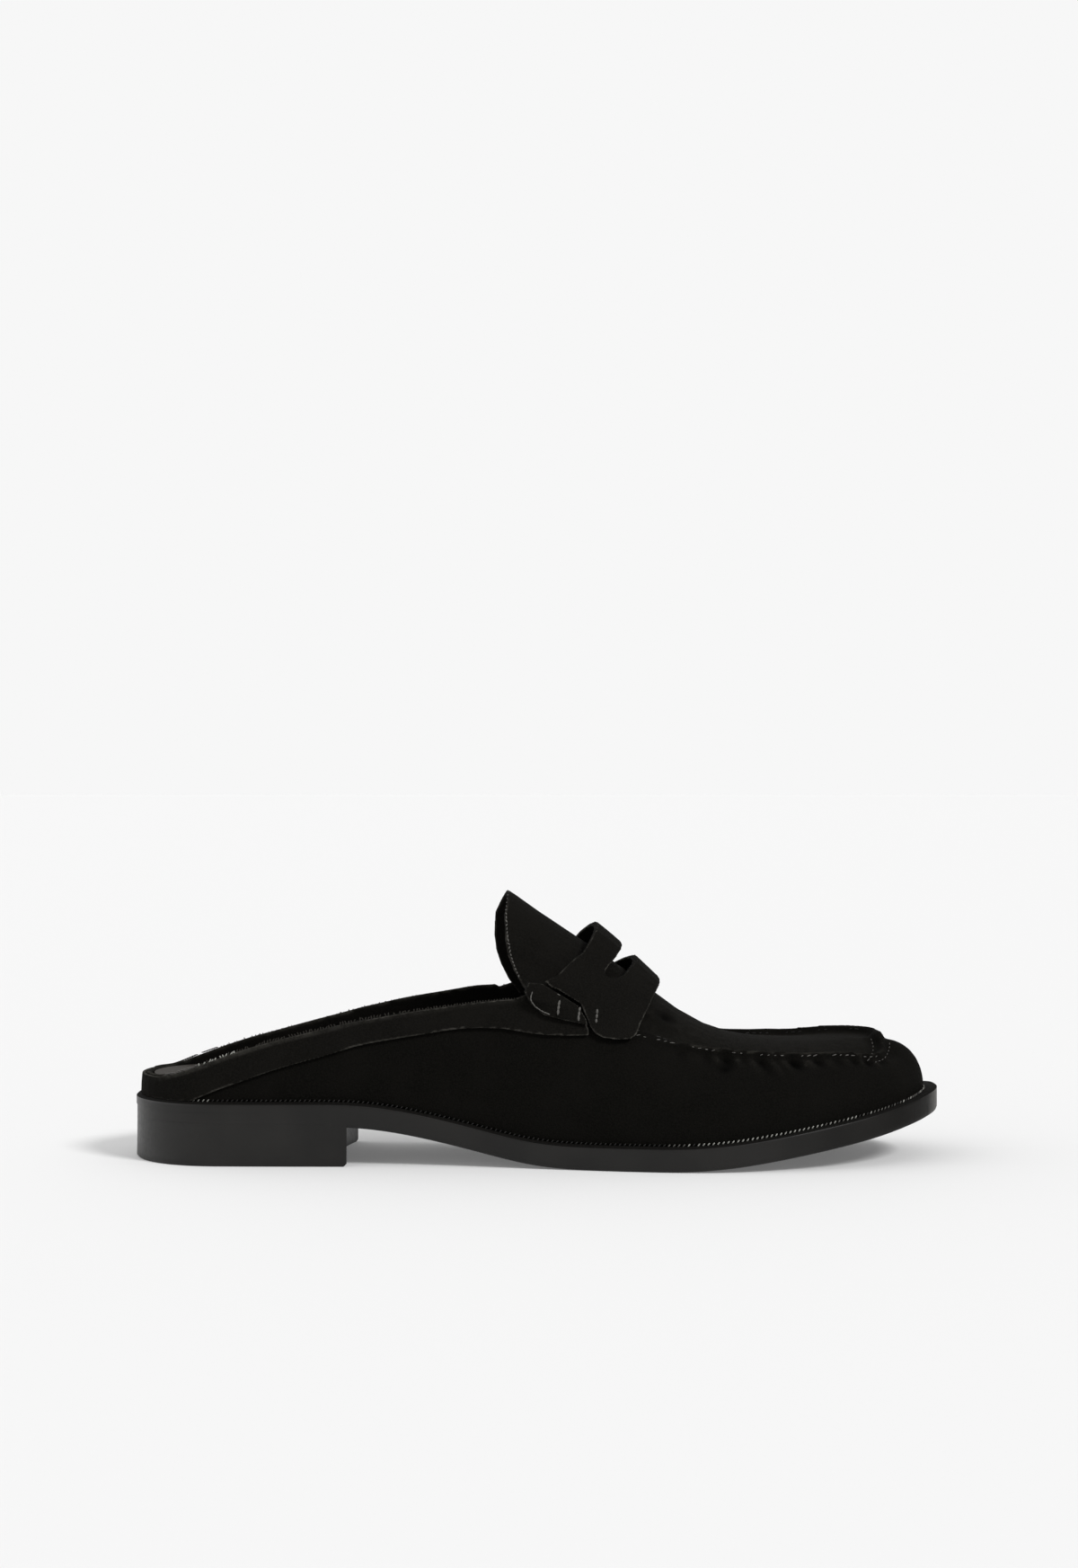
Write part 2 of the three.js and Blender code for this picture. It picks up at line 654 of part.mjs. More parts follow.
const openCollar = (solid) =>
  solid
    .subtract(collarCutter(0, -reach, smallestEdge))
    .subtract(collarCutter(1, 0, reach))
    .subtract(instepBlock(throatOutline, -reach, reach));

function makeUpper() {
  const sideClimbs = [0, 0.1, 0.22, 0.36, 0.5, 0.64, 0.76, 0.87];
  const crownClimbs = [1.28, 1.45, 1.63, 1.81, 2];
  const columns = steps(0, turn, 2 * sideStations)
    .slice(0, -1)
    .map((around) => {
      const { onSide, onApron } = ridgeShares(around);
      const ridgeClimbs = [1 - onSide, 1 - onSide * 0.55, 1, 1 + onApron * 0.55, 1 + onApron];
      return [...sideClimbs, ...ridgeClimbs, ...crownClimbs].map((climb) => ({ around, climb }));
    });
  const shell = sheetOnLast(columns, () => -upperWall, ridge, { ring: true, crowned: true });
  return openCollar(shell);
}

// The band runs round the collar from one end of the strap to the other.
function makeCollarBand() {
  const frontAt = 0.57;
  const farthest = aroundAt(frontAt * soleLength);
  const columns = steps(turn - farthest, turn + farthest, 52).map((around) =>
    [0, 0.12, 0.25, 0.4, 0.55, 0.7, 0.85, 1, 1.15].map((climb) => ({ around: around % turn, climb })),
  );
  const sheet = sheetOnLast(
    columns,
    () => seat,
    () => seat + collarBandThickness,
  );
  const low = (at) => {
    const x = at * soleLength;
    return Math.max(soleTop(x) + toplineRise * bandLow(at), soleTop(x) + seat);
  };
  const above = lineBlock(low, -0.1, frontAt, 2 * reach, -reach, reach);
  const frontEnd = instepBlock(bandFrontOutline(), -reach, reach);
  return openCollar(sheet.intersect(above)).subtract(frontEnd);
}

// What the collar band leaves free for the strap: the strap's lower edge, and everything in front of it.
function bandFrontOutline() {
  const clear = (2 * seat) / soleLength;
  const below = strapOutline.slice(7, 11).map(({ at, up }) => ({ at: at - clear, up: up - 0.012 }));
  const start = { at: 0.4841, up: 0.86 };
  return [start, ...below, { at: 0.5453 - clear, up: 0.4 }, { at: 0.7, up: 0.4 }, { at: 0.7, up: 1.5 }];
}

function makeTongue() {
  const climbs = steps(0.85, 3.15, 24);
  const columns = instepColumns(0.43, 0.6, 12, climbs);
  const tuck = (climb) => (upperWall + seat) * (1 - ramp(1.2, 1.42, climb));
  const sheet = sheetOnLast(
    columns,
    (around, climb) => -tuck(climb) - tongueThickness,
    (around, climb) => -tuck(climb),
  );
  return sheet.intersect(instepBlock(tongueOutline, -reach, reach));
}

function makeStrap() {
  const climbs = [0.82, 0.9, 0.98, 1.06, 1.15, 1.25, 1.36, 1.48, 1.6, 1.72, 1.86, 2];
  const mirrored = climbs.slice(0, -1).reverse().map((climb) => 4 - climb);
  const columns = instepColumns(0.48, 0.68, 18, [...climbs, ...mirrored]);
  const lift = (around, climb) => {
    const alongStrap = ramp(0.66, 0.54, edgePoint(around).x / soleLength);
    return seat + strapRise * (0.42 + 0.58 * alongStrap) * ramp(1.2, 1.8, climb);
  };
  const sheet = sheetOnLast(columns, lift, (around, climb) => lift(around, climb) + strapThickness);
  const whole = sheet.intersect(instepBlock(strapOutline, -reach, reach));
  return whole.subtract(instepBlock(slotOutline, -reach, reach));
}

// A thick roll of suede at each end of the strap, bound down over the band.
function makeRoll(side) {
  const climbs = side === 0 ? steps(0.8, 1.35, 9) : steps(3.2, 2.65, 9).reverse();
  const columns = instepColumns(0.43, 0.58, 13, climbs);
  const inner = 2 * seat + collarBandThickness;
  const outer = (around, climb) => {
    const middle = 1.12 - 0.9 * (edgePoint(around).x / soleLength - 0.5);
    const taper = 1 - 0.75 * ramp(0.5, 0.56, edgePoint(around).x / soleLength);
    const across = Math.min(1, Math.abs(climb - middle) / 0.2);
    return inner + rollEdge + rollBulge * taper * Math.sqrt(1 - across ** 2);
  };
  const sheet = sheetOnLast(columns, () => inner, outer);
  const [fromY, toY] = side === 0 ? [-reach, 0] : [0, reach];
  const shortened = rollOutline.map(({ at, up }) => ({ at: Math.max(at, innerRollStart), up }));
  return sheet.intersect(instepBlock(side === 0 ? rollOutline : shortened, fromY, toY));
}

const suede = new THREE.MeshStandardMaterial({ color: 0x12110f, roughness: 0.95, metalness: 0 });
const solePolish = new THREE.MeshStandardMaterial({ color: 0x2a2826, roughness: 0.45, metalness: 0 });
const liningLeather = new THREE.MeshStandardMaterial({ color: 0x5a534d, roughness: 0.6, metalness: 0 });

function named(name, solid, material) {
  const { vertProperties, triVerts } = solid.getMesh();
  const geometry = new THREE.BufferGeometry();
  geometry.setAttribute("position", new THREE.BufferAttribute(vertProperties, 3));
  geometry.setIndex(new THREE.BufferAttribute(triVerts, 1));
  const mesh = new THREE.Mesh(weld(geometry, smallestEdge), material);
  mesh.name = name;
  return mesh;
}

const shoe = new THREE.Group();
shoe.add(
  named("outsole", makeOutsole(), solePolish),
  named("welt", makeWelt(), solePolish),
  named("heel", makeHeel(), solePolish),
  named("footbed", makeFootbed(), liningLeather),
  named("upper", makeUpper(), suede),
  named("collar_band", makeCollarBand(), suede),
  named("tongue", makeTongue(), suede),
  named("strap", makeStrap(), suede),
  named("roll_outer", makeRoll(0), suede),
  named("roll_inner", makeRoll(1), suede),
);
shoe.position.set(-soleLength / 2, 0, 0);

export default shoe;
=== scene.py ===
import math
import random
import bpy
import bmesh
import numpy as np
from mathutils import Matrix, Vector
from mathutils.bvhtree import BVHTree


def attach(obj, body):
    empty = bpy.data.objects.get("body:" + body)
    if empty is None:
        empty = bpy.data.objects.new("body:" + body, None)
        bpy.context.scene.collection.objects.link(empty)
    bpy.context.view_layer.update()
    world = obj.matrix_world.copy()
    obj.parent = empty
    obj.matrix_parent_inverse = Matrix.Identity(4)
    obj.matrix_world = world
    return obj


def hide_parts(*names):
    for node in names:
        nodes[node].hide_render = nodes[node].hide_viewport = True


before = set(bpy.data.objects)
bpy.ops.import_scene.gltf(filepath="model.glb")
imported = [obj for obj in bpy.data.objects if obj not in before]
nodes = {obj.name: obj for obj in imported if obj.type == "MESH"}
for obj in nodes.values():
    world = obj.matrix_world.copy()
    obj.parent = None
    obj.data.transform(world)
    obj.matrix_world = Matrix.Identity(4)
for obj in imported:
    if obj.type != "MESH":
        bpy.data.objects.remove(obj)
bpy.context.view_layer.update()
mm = 0.001
lineStep = 0.5    # mm between the places on a seam or rim line
chance = random.Random(11)

# The sewn ridge round the apron, along its base, from the quarters to the toe, in mm
seamOuter = [
    (22.2, -27.6, 46.3), (33.0, -27.9, 42.5), (43.6, -27.7, 39.3), (54.4, -26.9, 36.8), (65.0, -25.8, 35.4),
    (75.5, -24.4, 34.5), (85.5, -22.3, 34.0), (94.9, -19.5, 34.0), (103.5, -16.4, 33.6), (109.8, -13.4, 32.8),
    (114.6, -9.7, 32.9), (116.5, -4.7, 33.9), (116.5, -0.3, 36.3), (116.1, 5.0, 38.4),
]
seamInner = [
    (22.5, 23.5, 48.0), (33.3, 25.7, 44.3), (44.1, 27.7, 41.0), (54.8, 29.0, 38.3), (65.4, 29.4, 36.8),
    (75.9, 29.2, 36.8), (85.8, 28.4, 36.9), (95.2, 26.9, 37.8), (103.7, 24.9, 38.5), (110.0, 22.7, 38.7),
    (114.7, 19.3, 38.5), (116.5, 14.5, 37.9), (116.5, 10.2, 37.8), (116.1, 5.0, 38.4),
]
# The topline of the collar, from the back of the heel forwards
rimOuter = [
    (-132.4, 0.0, 28.2), (-130.0, -11.3, 28.1), (-125.2, -18.7, 28.2), (-117.8, -24.1, 30.2),
    (-110.4, -26.5, 32.9), (-100.1, -26.8, 36.6), (-86.7, -26.7, 40.7), (-73.3, -26.7, 43.9),
    (-59.7, -26.6, 47.2), (-46.1, -26.4, 49.6), (-32.5, -26.0, 51.5), (-21.5, -25.7, 53.1),
    (-10.5, -25.7, 54.2), (-5.5, -25.8, 54.4),
]
rimInner = [
    (-132.4, 0.0, 28.2), (-130.0, 11.3, 28.1), (-125.2, 18.6, 28.3), (-117.8, 24.0, 30.9),
    (-110.4, 26.3, 33.4), (-100.2, 26.5, 36.8), (-86.8, 26.5, 40.3), (-73.4, 26.3, 43.9),
    (-59.9, 25.8, 47.6), (-46.3, 24.8, 50.6), (-32.7, 23.3, 53.1), (-21.8, 21.7, 55.1),
    (-10.8, 20.9, 55.7), (-5.8, 20.7, 55.7),
]
# The camera looks level along +Y: its place in mm, and the photo's focal length and middle in pixels
eyeX, eyeAway, eyeTall = 0.4, 868, 125.2
eyePlace = Vector((eyeX * mm, -eyeAway * mm, eyeTall * mm))
focal, middleU, middleV = 2848.5, 600, 872.5


def ramp(low, high, value):
    share = np.clip((value - low) / (high - low), 0, 1)
    return share * share * (3 - 2 * share)


def evenly(rows, step):    # points every step mm along a smooth line through the rows
    points = np.array(rows, float)
    fine = []
    for i in range(len(points) - 1):
        a = points[max(i - 1, 0)]
        b, c = points[i], points[i + 1]
        d = points[min(i + 2, len(points) - 1)]
        for t in np.linspace(0, 1, 12, endpoint=False):
            fine.append(0.5 * (2 * b + (c - a) * t + (2 * a - 5 * b + 4 * c - d) * t ** 2
                               + (3 * b - a - 3 * c + d) * t ** 3))
    fine.append(points[-1])
    fine = np.array(fine)
    along = np.concatenate([[0], np.cumsum(np.linalg.norm(np.diff(fine, axis=0), axis=1))])
    places = np.arange(0, along[-1], step)
    return np.stack([np.interp(places, along, fine[:, k]) for k in range(3)], axis=1)


# Meshes as tables of points, for the listed moves

def pointsOf(mesh):
    flat = np.empty(len(mesh.vertices) * 3, np.float32)
    mesh.vertices.foreach_get("co", flat)
    return flat.reshape(-1, 3).astype(float)


def normalsOf(mesh):
    flat = np.empty(len(mesh.vertices) * 3, np.float32)
    mesh.vertex_normals.foreach_get("vector", flat)
    return flat.reshape(-1, 3).astype(float)


def edgesOf(mesh):
    flat = np.empty(len(mesh.edges) * 2, np.int32)
    mesh.edges.foreach_get("vertices", flat)
    return flat.reshape(-1, 2)


def putPoints(mesh, points):
    mesh.vertices.foreach_set("co", points.astype(np.float32).ravel())
    mesh.update()


def neighbourMean(values, edges):
    count = len(values)
    a, b = edges[:, 0], edges[:, 1]
    degree = np.maximum(np.bincount(a, minlength=count) + np.bincount(b, minlength=count), 1)
    if values.ndim == 1:
        return (np.bincount(a, values[b], count) + np.bincount(b, values[a], count)) / degree
    return np.stack([neighbourMean(values[:, k], edges) for k in range(values.shape[1])], axis=1)


def bend(mesh):    # how sharply the surface turns at each vertex, outwards positive
    points, edges = pointsOf(mesh), edgesOf(mesh)
    return np.sum((points - neighbourMean(points, edges)) * normalsOf(mesh), axis=1)


def relax(mesh, weight, rounds):    # each round smooths, then pushes back, so that nothing shrinks
    points, edges = pointsOf(mesh), edgesOf(mesh)
    for i in range(rounds):
        for pull in (0.5, -0.52):
            points += pull * weight[:, None] * (neighbourMean(points, edges) - points)
    putPoints(mesh, points)


def setTone(mesh, name, values):
    layer = mesh.attributes.new(name, "FLOAT", "POINT")
    layer.data.foreach_set("value", values.astype(np.float32))


def place(piece, node):    # a piece with no node is an addition, such as stitches
    bpy.context.scene.collection.objects.link(piece)
    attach(piece, "root")
    if node:
        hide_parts(node)
    return piece


def mergedMesh(name):    # the CAD node's shape with its corners joined
    mesh = nodes[name].data.copy()
    work = bmesh.new()
    work.from_mesh(mesh)
    bmesh.ops.remove_doubles(work, verts=work.verts, dist=1e-6)
    work.to_mesh(mesh)
    work.free()
    mesh.materials.clear()
    return mesh


def evenMesh(name, step):    # the same shape as even small squares, so that folds can be worked into it
    source = bpy.data.objects.new(name + "Even", mergedMesh(name))
    bpy.context.scene.collection.objects.link(source)
    remesh = source.modifiers.new("even", "REMESH")
    remesh.mode = "VOXEL"
    remesh.voxel_size = step * mm
    shown = source.evaluated_get(bpy.context.evaluated_depsgraph_get())
    mesh = bpy.data.meshes.new_from_object(shown)
    bpy.data.objects.remove(source)
    mesh.materials.clear()
    mesh.polygons.foreach_set("use_smooth", [True] * len(mesh.polygons))
    return mesh


# How a rim's sharpness spreads to the surface beside it, and the sharpness that is smoothed or kept
softening = {"fade": 0.97, "beside": 0.8, "smoothed": 0.05, "kept": 0.14}


def softened(mesh, step, rounds):    # smooths facets, and keeps rims and ridges
    everywhere = np.ones(len(mesh.vertices))
    relax(mesh, everywhere, 2)
    edges = edgesOf(mesh)
    a, b = edges[:, 0], edges[:, 1]
    sharp = np.abs(bend(mesh)) / (step * mm)
    for i in range(3):
        sharp = np.maximum(sharp, softening["fade"] * neighbourMean(sharp, edges))
        top = sharp.copy()
        np.maximum.at(top, a, softening["beside"] * sharp[b])
        np.maximum.at(top, b, softening["beside"] * sharp[a])
        sharp = top
    relax(mesh, 1 - ramp(softening["smoothed"], softening["kept"], sharp), rounds)


# Materials

def newMaterial(name, **values):
    material = bpy.data.materials.new(name)
    material.use_nodes = True
    shader = material.node_tree.nodes["Principled BSDF"]
    for key, value in values.items():
        shader.inputs[key.replace("_", " ")].default_value = value
    return material


def addNode(material, kind, **values):
    node = material.node_tree.nodes.new("ShaderNode" + kind)
    for key, value in values.items():
        if key in node.inputs:
            node.inputs[key].default_value = value
        else:
            setattr(node, key, value)
    return node


def join(material, start, end):
    material.node_tree.links.new(start, end)


def noise(material, size, detail, roughness=0.5):    # size in mm
    where = addNode(material, "TexCoord")
    pattern = addNode(material, "TexNoise", Scale=1 / (size * mm), Detail=detail, Roughness=roughness)
    join(material, where.outputs["Object"], pattern.inputs["Vector"])
    return pattern.outputs["Fac"]


def spread(material, value, low, high, outLow=0.0, outHigh=1.0):
    node = addNode(material, "MapRange")
    join(material, value, node.inputs["Value"])
    for key, number in {"From Min": low, "From Max": high, "To Min": outLow, "To Max": outHigh}.items():
        node.inputs[key].default_value = number
    return node.outputs["Result"]


def blendColours(material, share, first, second):
    node = addNode(material, "Mix", data_type="RGBA")
    join(material, share, node.inputs[0])
    for socket, colour in ((node.inputs[6], first), (node.inputs[7], second)):
        if isinstance(colour, tuple):
            socket.default_value = (*colour, 1)
        else:
            join(material, colour, socket)
    return node.outputs[2]


def bump(material, height, distance, strength):    # distance in mm
    node = addNode(material, "Bump", Distance=distance * mm, Strength=strength)
    join(material, height, node.inputs["Height"])
    return node.outputs["Normal"]


def shaderOf(material):
    return material.node_tree.nodes["Principled BSDF"]


def makeSuede(name, dark, light, edgeTone):    # the attribute: above 0 pales in patches (wear and painted highlight), below 0 is painted shade
    material = newMaterial(name, Roughness=0.95, Specular_IOR_Level=0.03)
    nap = noise(material, 0.55, 4, 0.65)
    cloud = noise(material, 14, 3)
    tone = blendColours(material, spread(material, nap, 0.32, 0.72), dark, light)
    tone = blendColours(material, spread(material, cloud, 0.42, 0.68, 0, 0.4), tone, light)
    worn = addNode(material, "Attribute", attribute_name="worn").outputs["Fac"]
    patchy = addNode(material, "Math", operation="MULTIPLY")
    join(material, spread(material, worn, 0, 1), patchy.inputs[0])
    join(material, spread(material, noise(material, 2.4, 4, 0.7), 0.36, 0.6, 0.25, 1), patchy.inputs[1])
    # Painted shade: below 0 darkens the suede towards black, in folds and dents
    tone = blendColours(material, spread(material, worn, 0, -1, 0, 0.8), tone, (0, 0, 0))
    # Above 0 pales it in patches: rubbed edges and painted highlights, painted light on the apron, the
    # topline strip
    tone = blendColours(material, patchy.outputs["Value"], tone, edgeTone)
    join(material, tone, shaderOf(material).inputs["Base Color"])
    join(material, bump(material, nap, 0.35, 0.6), shaderOf(material).inputs["Normal"])
    return material


suede = makeSuede("suede", (0.0023, 0.0022, 0.0018), (0.0055, 0.0051, 0.0043), (0.05, 0.047, 0.04))
bandSuede = makeSuede("bandSuede", (0.0033, 0.0031, 0.0026), (0.0076, 0.0071, 0.0061), (0.06, 0.057, 0.05))


# Where the sole loses its polish towards the toe, and its tip's painted reflection, in metres along the shoe
soleDullingAndTipLight = {"dullFrom": 0.07, "dullTo": 0.12, "polishLeft": 0.3, "tipFrom": 0.1305, "tipTo": 0.1357,
            "tipShare": 0.85, "tipTone": (0.09, 0.085, 0.077)}


def makeSole(name, dark, light):
    material = newMaterial(name, Roughness=0.42, Coat_Roughness=0.28)
    grain = noise(material, 1.6, 5, 0.6)
    cloud = noise(material, 22, 2)
    tone = blendColours(material, spread(material, cloud, 0.35, 0.7), dark, light)
    join(material, spread(material, grain, 0.3, 0.7, 0.38, 0.5), shaderOf(material).inputs["Roughness"])
    axes = addNode(material, "SeparateXYZ")
    join(material, addNode(material, "TexCoord").outputs["Object"], axes.inputs[0])
    along = axes.outputs["X"]
    # Painted reflection: the toe tip is painted lighter
    tipReflection = spread(material, along, soleDullingAndTipLight["tipFrom"], soleDullingAndTipLight["tipTo"], 0, soleDullingAndTipLight["tipShare"])
    tone = blendColours(material, tipReflection, tone, soleDullingAndTipLight["tipTone"])
    join(material, tone, shaderOf(material).inputs["Base Color"])
    for finish, most in (("Specular IOR Level", 0.24), ("Coat Weight", 0.1)):
        least = soleDullingAndTipLight["polishLeft"] * most
        fading = spread(material, along, soleDullingAndTipLight["dullFrom"], soleDullingAndTipLight["dullTo"], most, least)
        join(material, fading, shaderOf(material).inputs[finish])
    join(material, bump(material, grain, 0.12, 0.25), shaderOf(material).inputs["Normal"])
    return material


solePolish = makeSole("solePolish", (0.005, 0.0046, 0.004), (0.009, 0.0083, 0.0073))


def makeFlat(name, colour, roughness, specular):
    material = newMaterial(name, Roughness=roughness, Specular_IOR_Level=specular)
    mottle = noise(material, 0.8, 3)
    darker = tuple(0.6 * c for c in colour)
    tone = blendColours(material, spread(material, mottle, 0.3, 0.7), darker, colour)
    join(material, tone, shaderOf(material).inputs["Base Color"])
    return material


insole = makeFlat("insole", (0.036, 0.031, 0.026), 0.7, 0.12)
threadPale = makeFlat("threadPale", (0.34, 0.34, 0.31), 0.6, 0.3)
# This grey serves threads and also the painted highlight along the roll's top
greyThreadAndHighlight = makeFlat("greyThreadAndHighlight", (0.1, 0.096, 0.088), 0.6, 0.3)
rawEdge = makeFlat("rawEdge", (0.032, 0.03, 0.026), 0.9, 0.05)
weltTop = makeFlat("weltTop", (0.006, 0.0056, 0.005), 0.8, 0.04)
threadDark = makeFlat("threadDark", (0.012, 0.011, 0.0105), 0.6, 0.3)
print("materials made")


def nearest(line, points):    # distance of each point from a line, and the index of its nearest place
    index = np.empty(len(points), int)
    far = np.empty(len(points))
    for i in range(0, len(points), 4000):
        part = points[i:i + 4000]
        gap = np.linalg.norm(part[:, None, :] - line[None, :, :], axis=2)
        index[i:i + 4000] = gap.argmin(axis=1)
        far[i:i + 4000] = gap.min(axis=1)
    return far, index


# Upper: the gathers under the ridge are listed, each with its place along the shoe, depth, length,
# half width and lean
upperSizes = {"step": 0.8, "rounds": 20, "rimWearAndHighlight": 0.35, "apronPaintedLight": 0.07}
gathersOuter = [
    (47, 0.3, 8, 1.6, 0.1), (55, 0.4, 9, 1.6, 0.2), (61.3, 1.1, 9, 1.9, 0.25),
    (67, 0.3, 9, 1.2, 0.1), (72.5, 0.9, 13, 1.7, 0.3), (78.5, 0.4, 12, 1.2, 0.2),
    (83.6, 1.5, 9, 2.1, 0.15), (91.5, 0.8, 8, 1.6, 0.1), (98.5, 0.35, 9, 1.4, 0.0),
    (104.8, 0.8, 8, 1.6, -0.1), (109, 1.0, 8, 1.6, -0.2), (113.5, 0.5, 8, 1.4, -0.3),
]
gathersInner = [
    (45, 0.3, 8, 1.6, 0.1), (53, 0.45, 10, 1.6, 0.2), (61, 0.9, 12, 1.7, 0.1),
    (69, 0.8, 12, 1.7, 0.2), (76, 0.4, 10, 1.4, 0.1), (83, 1.1, 10, 1.8, 0.1),
    (90.5, 0.6, 10, 1.5, 0.0), (98, 0.9, 11, 1.6, -0.1), (105, 0.7, 9, 1.5, -0.2),
    (111, 0.8, 9, 1.5, -0.3),
]
hollows = [    # slight hollows and creases: centre, half sizes along, across and up, depth
    ((40, -38, 26), (14, 20, 9), 0.45),
    ((-20, -40, 26), (30, 20, 8), 0.4),
    ((5, -35, 38), (18, 12, 3), 0.4),
]
dents = [    # small dents that the photo shows: pixel, half sizes along, across and up, depth
    ((745, 1130), (2.6, 3, 1.7), 0.9),
    ((808, 1187), (2.2, 3, 1.3), 0.5),
]
darkFrom = 0.45    # hollows deeper than this also get painted shade
foldShade, crestHighlight = 0.9, 0.18    # painted shade: how much a fold darkens, and painted highlight: how much its crest lightens, for each mm
# Gathers lie this far along and up the shoe, and fade in under the ridge. Each has a crest on both sides
gatherForm = {"along": 30, "up": 14, "sideFrom": 0.6, "sideTo": 2.4, "footFrom": 0.8, "footTo": 2.6,
              "crest": 0.45, "crestAt": 1.9}


def gather(points, normals, rows, gathers):
    form = gatherForm
    line = evenly(rows, lineStep)
    near = np.nonzero((points[:, 0] > form["along"]) & (points[:, 2] > form["up"]))[0]
    away, index = nearest(line, points[near])
    foot = line[index]
    side = np.sign(line[len(line) // 3][1])
    ahead = np.gradient(line, axis=0)
    ahead /= np.linalg.norm(ahead, axis=1)[:, None]
    outward = np.stack([-ahead[:, 1], ahead[:, 0], 0 * ahead[:, 0]], axis=1) * side
    out = np.sum((points[near] - foot) * outward[index], axis=1)
    below = ramp(form["sideFrom"], form["sideTo"], out)
    along = index * lineStep
    move = np.zeros(len(near))
    for x, depth, length, half, lean in gathers:
        middle = np.abs(line[:-8, 0] - x).argmin() * lineStep    # its last places turn back at the toe
        across = (along - middle - lean * away) / half
        strength = ramp(form["footFrom"], form["footTo"], away) * (1 - ramp(0.2, 1, away / length))
        crests = np.exp(-(across - form["crestAt"]) ** 2) + np.exp(-(across + form["crestAt"]) ** 2)
        move += depth * (-np.exp(-across ** 2) + form["crest"] * crests) * strength
    points[near] += (move * below)[:, None] * normals[near]
    return near, move * below


upperMesh = evenMesh("upper", upperSizes["step"])
softened(upperMesh, upperSizes["step"], upperSizes["rounds"])
points, normals = pointsOf(upperMesh) / mm, normalsOf(upperMesh)
shade = np.zeros(len(points))
for rows, gathers in ((seamOuter, gathersOuter), (seamInner, gathersInner)):
    near, move = gather(points, normals, rows, gathers)
    # Painted shade in each fold, painted highlight on its crests
    shade[near] += np.where(move < 0, foldShade * move, crestHighlight * move)
for (u, v), half, depth in dents:
    far = eyeAway + points[:, 1]
    across = middleU + focal * (points[:, 0] - eyeX) / far - u
    down = middleV + focal * (eyeTall - points[:, 2]) / far - v
    close = np.nonzero(across ** 2 + down ** 2 < 4 ** 2)[0]    # seen within 4 pixels
    hollows.append((tuple(points[close[points[close, 1].argmin()]]), half, depth))
# Each hollow is pressed in; one deeper than darkFrom also gets painted shade
for centre, half, depth in hollows:
    share = np.exp(-np.sum(((points - centre) / half) ** 2, axis=1))
    points -= (depth * share)[:, None] * normals
    shade -= foldShade * share * (depth > darkFrom)
putPoints(upperMesh, points * mm)
# Convex rims are painted pale: partly rubbed wear, partly painted highlight
turn = bend(upperMesh) / (upperSizes["step"] * mm)
rims = upperSizes["rimWearAndHighlight"] * ramp(0.08, 0.16, neighbourMean(turn, edgesOf(upperMesh)))
points, normals = pointsOf(upperMesh) / mm, normalsOf(upperMesh)
# The apron, between the seams and facing up, gets painted light: its suede is painted a little lighter
apron = ramp(22, 34, points[:, 0]) * (1 - ramp(108, 116, points[:, 0])) * ramp(0.6, 0.85, normals[:, 2])
for rows, side in ((seamOuter, -1), (seamInner, 1)):
    line = evenly(rows, lineStep)[:-40]    # without its turn round the toe
    apron *= side * (np.interp(points[:, 0], line[:, 0], line[:, 1]) - points[:, 1]) > 1.5
setTone(upperMesh, "worn", np.clip(rims + shade + upperSizes["apronPaintedLight"] * apron, -1, 1))
upperMesh.materials.append(suede)
upperPiece = place(bpy.data.objects.new("upperSuede", upperMesh), "upper")
print("upper", len(upperMesh.polygons))

# Collar band, tongue, strap and rolls
softPieces = {
    "collar_band": {"step": 0.4, "rounds": 16, "wear": 0.8},
    "tongue": {"step": 0.45, "rounds": 20, "wear": 0.8},
    "strap": {"step": 0.4, "rounds": 20, "wear": 1.2},
    "roll_outer": {"step": 0.25, "rounds": 12, "wear": 0.8},
    "roll_inner": {"step": 0.25, "rounds": 12, "wear": 0.8},
}
rimStrip = {"tall": 2.3, "bright": 0.3}    # the pale strip along the topline
soft = {}
# Each piece's convex edges are painted pale: partly rubbed wear, partly painted highlight
for name, sizes in softPieces.items():
    mesh = evenMesh(name, sizes["step"])
    softened(mesh, sizes["step"], sizes["rounds"])
    turn = bend(mesh) / (sizes["step"] * mm)
    worn = sizes["wear"] * ramp(0.07, 0.13, neighbourMean(turn, edgesOf(mesh)))
    if name == "collar_band":
        places = pointsOf(mesh) / mm
        for rows in (rimOuter, rimInner):
            away, index = nearest(evenly(rows, lineStep), places)
            fade = 0.25 + 0.75 * (1 - ramp(-100, -20, places[:, 0]))
            strip = rimStrip["bright"] * fade * (1 - ramp(0.7, 1, away / rimStrip["tall"]))
            worn = np.maximum(worn, strip * ramp(-131, -118, places[:, 0]))
    setTone(mesh, "worn", worn)
    mesh.materials.append(bandSuede)
    label = "".join(w.capitalize() if i else w for i, w in enumerate(name.split("_")))
    soft[name] = place(bpy.data.objects.new(label + "Suede", mesh), name)
    print(name, len(mesh.polygons))


# Sole: rounded from the CAD's own rings, each layer raised to meet the one above. Angles in radians
soleForm = {"flat": 0.3, "creased": 0.3, "sharp": 0.9, "rounding": 2, "facesUp": 0.3, "topFace": 0.5}


